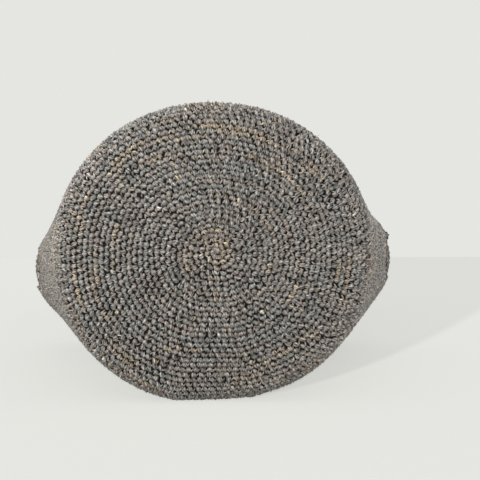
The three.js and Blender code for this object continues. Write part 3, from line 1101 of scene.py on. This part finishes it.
def pocket_lift(x, down):
    """How far the pocket's panel stands off the lining, most in the middle of its open side."""
    middle = np.clip(1 - (2 * x / POCKET_WIDTH) ** 2, 0, 1)
    low_side = smooth((POCKET_DEPTH - down) / 25)
    return CLOTH_GAP + middle * low_side * (1.2 + 5.5 * np.exp(-down / 30) + 0.5 * np.sin(x / 19 + down / 23))


def pocket_thickness(down):
    return LINING_THICKNESS * (1 + smooth((POCKET_HEM - down) / FOLD_RUN))


def pocket():
    """A slip pocket: a panel sewn down along three sides, with a folded hem on its open side, which gapes."""
    x = np.linspace(-POCKET_WIDTH / 2, POCKET_WIDTH / 2, 61)
    mouth = HALF_LENGTH - POCKET_BELOW_EDGE
    below_hem = np.linspace(POCKET_HEM + 2, POCKET_DEPTH, 50)
    y = mouth - np.append(np.linspace(0, POCKET_HEM + 1, 14), below_hem)
    down = mouth - y[:, None]
    under = over_lining(x, y, pocket_lift(x[None], down))
    over = over_lining(x, y, pocket_lift(x[None], down) + pocket_thickness(down))
    panel = add_loft("inner_pocket_cloth", np.concatenate([under, over[:, ::-1]], axis=1), COTTON, cloth="xy")
    finish_piece(panel, "lining", "inner_pocket")
    side, deep, hem = POCKET_WIDTH / 2 - 3, POCKET_DEPTH - 3, POCKET_HEM - 2
    corners = [(-side, 3), (-side, deep), (side, deep), (side, 3)]
    lines = []
    for (x0, down0), (x1, down1) in [*zip(corners[:-1], corners[1:]), ((-side, hem), (side, hem))]:
        share = np.linspace(0, 1, round(math.hypot(x1 - x0, down1 - down0) / STITCH_GAP) + 1)
        at_x, down = mix(x0, x1, share), mix(down0, down1, share)
        layer = pocket_lift(at_x, down) + pocket_thickness(down) + STITCH_LIFT
        points = [over_lining(np.array([a]), np.array([b]), c)[0, 0]
                  for a, b, c in zip(at_x, mouth - down, layer)]
        lines.append((np.stack(points), (0.0, 0.0, 1.0)))
    stitches = add_seam("inner_pocket_stitches", lines, SEWING_THREAD, "inner_pocket")


# Magnetic snap

SNAP_BELOW_EDGE = 34
PATCH_SIDE = 32
PATCH_THICKNESS = 1.2
PATCH_SEAM = 0.84
FLANGE = [(0.05, 0), (8.6, 0), (9, 0.6), (9, 2.4), (8.3, 3), (6.8, 3), (6.5, 2.6), (6.1, 2.6), (5.8, 3)]
STUD = [*FLANGE, (4.2, 3), (4, 3.4), (4, 5), (3.4, 5.5), (0.05, 5.5)]
SOCKET = [*FLANGE, (5.0, 3), (4.6, 2.6), (4.6, 0.8), (0.05, 0.8)]


def snap_frame(side):
    """The place and directions of one half of the snap, on the lower or the upper side of the mouth."""
    y = HALF_LENGTH - SNAP_BELOW_EDGE
    inset = LINING_DEPTH + LINING_THICKNESS
    if side == "lower":
        return np.array([0, y, inset + 2 * CLEARANCE]), np.eye(3)

    def roof(at):
        return section((at + HALF_LENGTH - EDGE_ROLL) / WALL_RUN, math.pi / 2, inset)[1]

    slope = math.atan2(roof(y + PATCH_SIDE / 2) - roof(y - PATCH_SIDE / 2), PATCH_SIDE)
    along = np.array([0, -math.cos(slope), -math.sin(slope)])
    x_way = np.array([1.0, 0, 0])
    return np.array([0, y, roof(y) - 2 * CLEARANCE]), np.stack([x_way, along, np.cross(x_way, along)])


def in_snap_frame(side, points):
    origin, directions = snap_frame(side)
    return origin + points @ directions


def stacked_rings(side, outline, sizes, heights):
    """Rings of the same outline for a half of the snap, each at its size and height."""
    rings = [np.column_stack([outline * size, np.full(len(outline), height)])
             for size, height in zip(sizes, heights)]
    return in_snap_frame(side, np.array(rings))


def snap_patch(side):
    """A square of the lining's cotton, folded under all round and stitched down, a little puffed."""
    outline = PATCH_SIDE / 2 * signed_power(circle(round_angles(64)), 0.32)
    shares = np.array([0.03, 0.2, 0.4, 0.55, 0.68, 0.78, 0.84, 0.88, 0.93, 0.97, 1.0])
    seam_dip = 0.45 * np.exp(-(((shares - PATCH_SEAM) / 0.035) ** 2))
    top = PATCH_THICKNESS - seam_dip - 0.9 * smooth((shares - 0.9) / 0.1)
    rings = stacked_rings(side, outline, [*shares, *shares[::-1]], [*top, *np.zeros(len(shares))])
    node = f"snap_patch_{side}"
    patch = add_loft(f"{node}_cloth", rings, COTTON, cloth="xy")
    finish_piece(patch, "lining", node)
    way = PATCH_SIDE / 2 * PATCH_SEAM
    corners = np.array([(-way, -way), (way, -way), (way, way), (-way, way), (-way, -way)]) * 0.96
    share = np.linspace(0, 1, 9)[:, None]
    lines = []
    for start, end in zip(corners[:-1], corners[1:]):
        points = np.column_stack([mix(start, end, share), np.full(9, PATCH_THICKNESS - 0.3)])
        lines.append((in_snap_frame(side, points), snap_frame(side)[1][2]))
    stitches = add_seam(f"{node}_stitches", lines, SNAP_THREAD, node)


def rounded_profile(corners, radius=0.35):
    """Radii and heights along a turned profile, with each inner corner rounded off."""
    profile = [corners[0]]
    for before, corner, after in zip(corners[:-2], corners[1:-1], corners[2:]):
        before, corner, after = (np.array(x, float) for x in (before, corner, after))
        into, out = unit(before - corner), unit(after - corner)
        size = min(radius, np.linalg.norm(before - corner) / 2.2, np.linalg.norm(after - corner) / 2.2)
        for share in np.linspace(0, 1, 5):
            profile.append(corner + size * ((1 - share) ** 2 * into + share**2 * out))
    return np.array([*profile, corners[-1]])


def snap_half(side, node, corners):
    """One half of the snap, turned from its profile, on top of its patch."""
    profile = rounded_profile(corners) + (0, PATCH_THICKNESS + CLEARANCE)
    rings = stacked_rings(side, circle(round_angles(64)), *profile.T)
    finish_piece(add_loft(f"{node}_turned", rings, ANTIQUE_BRASS), "metal", node)


# Fine ends of raffia that stick out between the stitches

LOOSE_ENDS = 150


def loose_ends():
    reach = RNG.uniform(20, MOUTH_REACH - 10, LOOSE_ENDS)
    angle = RNG.uniform(0, 2 * math.pi, LOOSE_ENDS)
    point, around, away, out = skin_frame(reach, angle)
    lean = jitter(0.9, (LOOSE_ENDS, 2))
    along = out + around * lean[:, :1] + away * lean[:, 1:]
    length = RNG.uniform(3, 7, LOOSE_ENDS)
    colour = strand_colours(yarn_colours(LOOSE_ENDS), 0.3)
    centre = point + unit(along) * length[:, None] * 0.25
    group = strand_group(centre, along, around + 0.01 * out, length=length, width=0.55, height=0.3, dive=0.3,
                         colour=colour, bend=jitter(0.7, LOOSE_ENDS))
    made = add_strands("loose_raffia_ends", group, RAFFIA_SMALL, rings=6, crinkle=0)
    finish_piece(made, "raffia", "side_wall", "base_disc")


crochet_shell()
crochet_core()
inner_rounds()
mouth_edging()
shoulder_strap()
strap_threads()
lining()
pocket()
snap_patch("lower")
snap_patch("upper")
snap_half("lower", "snap_stud", STUD)
snap_half("upper", "snap_socket", SOCKET)
loose_ends()

# Camera, light and floor, placed in metres

CAMERA_TARGET = Vector((0, -HALF_LENGTH * MM, 0.1445))
CAMERA_DISTANCE = 1.5
CAMERA_ELEVATION = math.radians(9.95)
FOCAL_PIXELS = 1575
FRAME_PIXELS = 480
TARGET_PIXEL = (213, 256.6)
SENSOR = 36


def add_camera():
    """The photograph's view: the target is seen a little left of and below the middle of the frame."""
    data = bpy.data.cameras.new("main_camera")
    data.sensor_width = SENSOR
    data.lens = FOCAL_PIXELS / FRAME_PIXELS * SENSOR
    camera = link_object("main_camera", data)
    forward = Vector((0, math.cos(CAMERA_ELEVATION), -math.sin(CAMERA_ELEVATION)))
    right = Vector((1, 0, 0))
    up = right.cross(forward)
    camera.location = CAMERA_TARGET - CAMERA_DISTANCE * forward
    beside = (FRAME_PIXELS / 2 - TARGET_PIXEL[0]) / FOCAL_PIXELS
    above = (TARGET_PIXEL[1] - FRAME_PIXELS / 2) / FOCAL_PIXELS
    aim = forward + right * beside + up * above
    camera.rotation_euler = aim.to_track_quat("-Z", "Y").to_euler()
    bpy.context.scene.camera = camera


BACKDROP = (*linear("#e5e6e1"), 1)
FLOOR_END = 685
FLOOR_REACH = 3000
FLOOR_GLOW = 0.72


def camera_rays(owner):
    """1 where the camera, or a shiny or clear surface, looks straight at what wears the material."""
    path = add_node(owner, "LightPath")
    seen = path.outputs["Is Camera Ray"]
    for name in ("Is Glossy Ray", "Is Transmission Ray"):
        seen = add_math(owner, "MAXIMUM", seen, path.outputs[name])
    return seen


def add_floor():
    """Matt paper over a plain light table. The table's even glow, which only the camera sees, makes up most
    of the floor's tone, so the shadow on it stays faint."""
    material = new_material("matt_backdrop_paper", Roughness=0.95, Specular_IOR_Level=0, Base_Color=BACKDROP)
    nodes = material.node_tree.nodes
    seen = add_node(material, "Math", [(camera_rays(material), 0)], operation="MULTIPLY")
    seen.inputs[1].default_value = FLOOR_GLOW
    glow = add_node(material, "Emission", [(seen.outputs[0], "Strength")], Color=BACKDROP)
    shown = add_node(material, "AddShader", [(nodes["Principled BSDF"].outputs[0], 0), (glow.outputs[0], 1)])
    material.node_tree.links.new(shown.outputs[0], nodes["Material Output"].inputs[0])
    x = FLOOR_REACH
    corners = [(-x, -x, 0), (x, -x, 0), (x, FLOOR_END, 0), (-x, FLOOR_END, 0)]
    floor = add_object("floor", corners, [0, 1, 2, 3], [4], material)
    return floor


SUN_FROM = Vector((-0.39, -0.893, 0.218))
SUN_LEVEL = 1.28
SUN_ANGLE = math.radians(2)
SKY_STRENGTH = 0.2

# Soft boxes: place from the bag's middle, level and side
SOFT_BOXES = {
    "box_overhead": ((-0.5, -0.35, 1.05), 1.1, 0.9),
    "box_left": ((-0.5, -0.4, 0.3), 1.25, 0.45),
    "box_right": ((1.3, -0.3, 0.2), 1.4, 0.8),
    "box_behind": ((0.25, 1.35, 0.75), 1.0, 0.9),
}


def add_lamp(data, place):
    """A lamp at a place from the bag's middle, turned toward it."""
    lamp = link_object(data.name, data)
    lamp.location = CAMERA_TARGET + place
    lamp.rotation_euler = place.to_track_quat("Z", "Y").to_euler()
    return lamp


def add_lights(floor):
    """A low lamp from the front and left, which casts the long shadow, and four soft boxes, shaded from the
    floor: one over the left of the bag, a small near one at its left, one at its right and one behind."""
    lamp = bpy.data.lights.new("low_lamp", "SUN")
    lamp.energy = SUN_LEVEL
    lamp.angle = SUN_ANGLE
    add_lamp(lamp, SUN_FROM)
    shaded = bpy.data.collections.new("shaded_from_soft_boxes")
    shaded.objects.link(floor)
    for name, (place, level, side) in SOFT_BOXES.items():
        box = bpy.data.lights.new(name, "AREA")
        box.size = side
        box.energy = level * math.pi * Vector(place).length_squared
        add_lamp(box, Vector(place)).light_linking.receiver_collection = shaded
    shaded.collection_objects[0].light_linking.link_state = "EXCLUDE"


def add_sky():
    """An even white sky, which the camera sees as more of the backdrop."""
    world = bpy.data.worlds.new("studio")
    bpy.context.scene.world = world
    world.use_nodes = True
    nodes = world.node_tree.nodes
    sky = nodes["Background"]
    sky.inputs["Strength"].default_value = SKY_STRENGTH
    sky.inputs["Color"].default_value = (1, 1, 1, 1)
    plain = add_node(world, "Background", Color=BACKDROP)
    links = [(camera_rays(world), 0), (sky.outputs[0], 1), (plain.outputs[0], 2)]
    shown = add_node(world, "MixShader", links)
    world.node_tree.links.new(shown.outputs[0], nodes["World Output"].inputs[0])


add_camera()
add_lights(add_floor())
add_sky()
bpy.context.scene.view_settings.view_transform = "Standard"
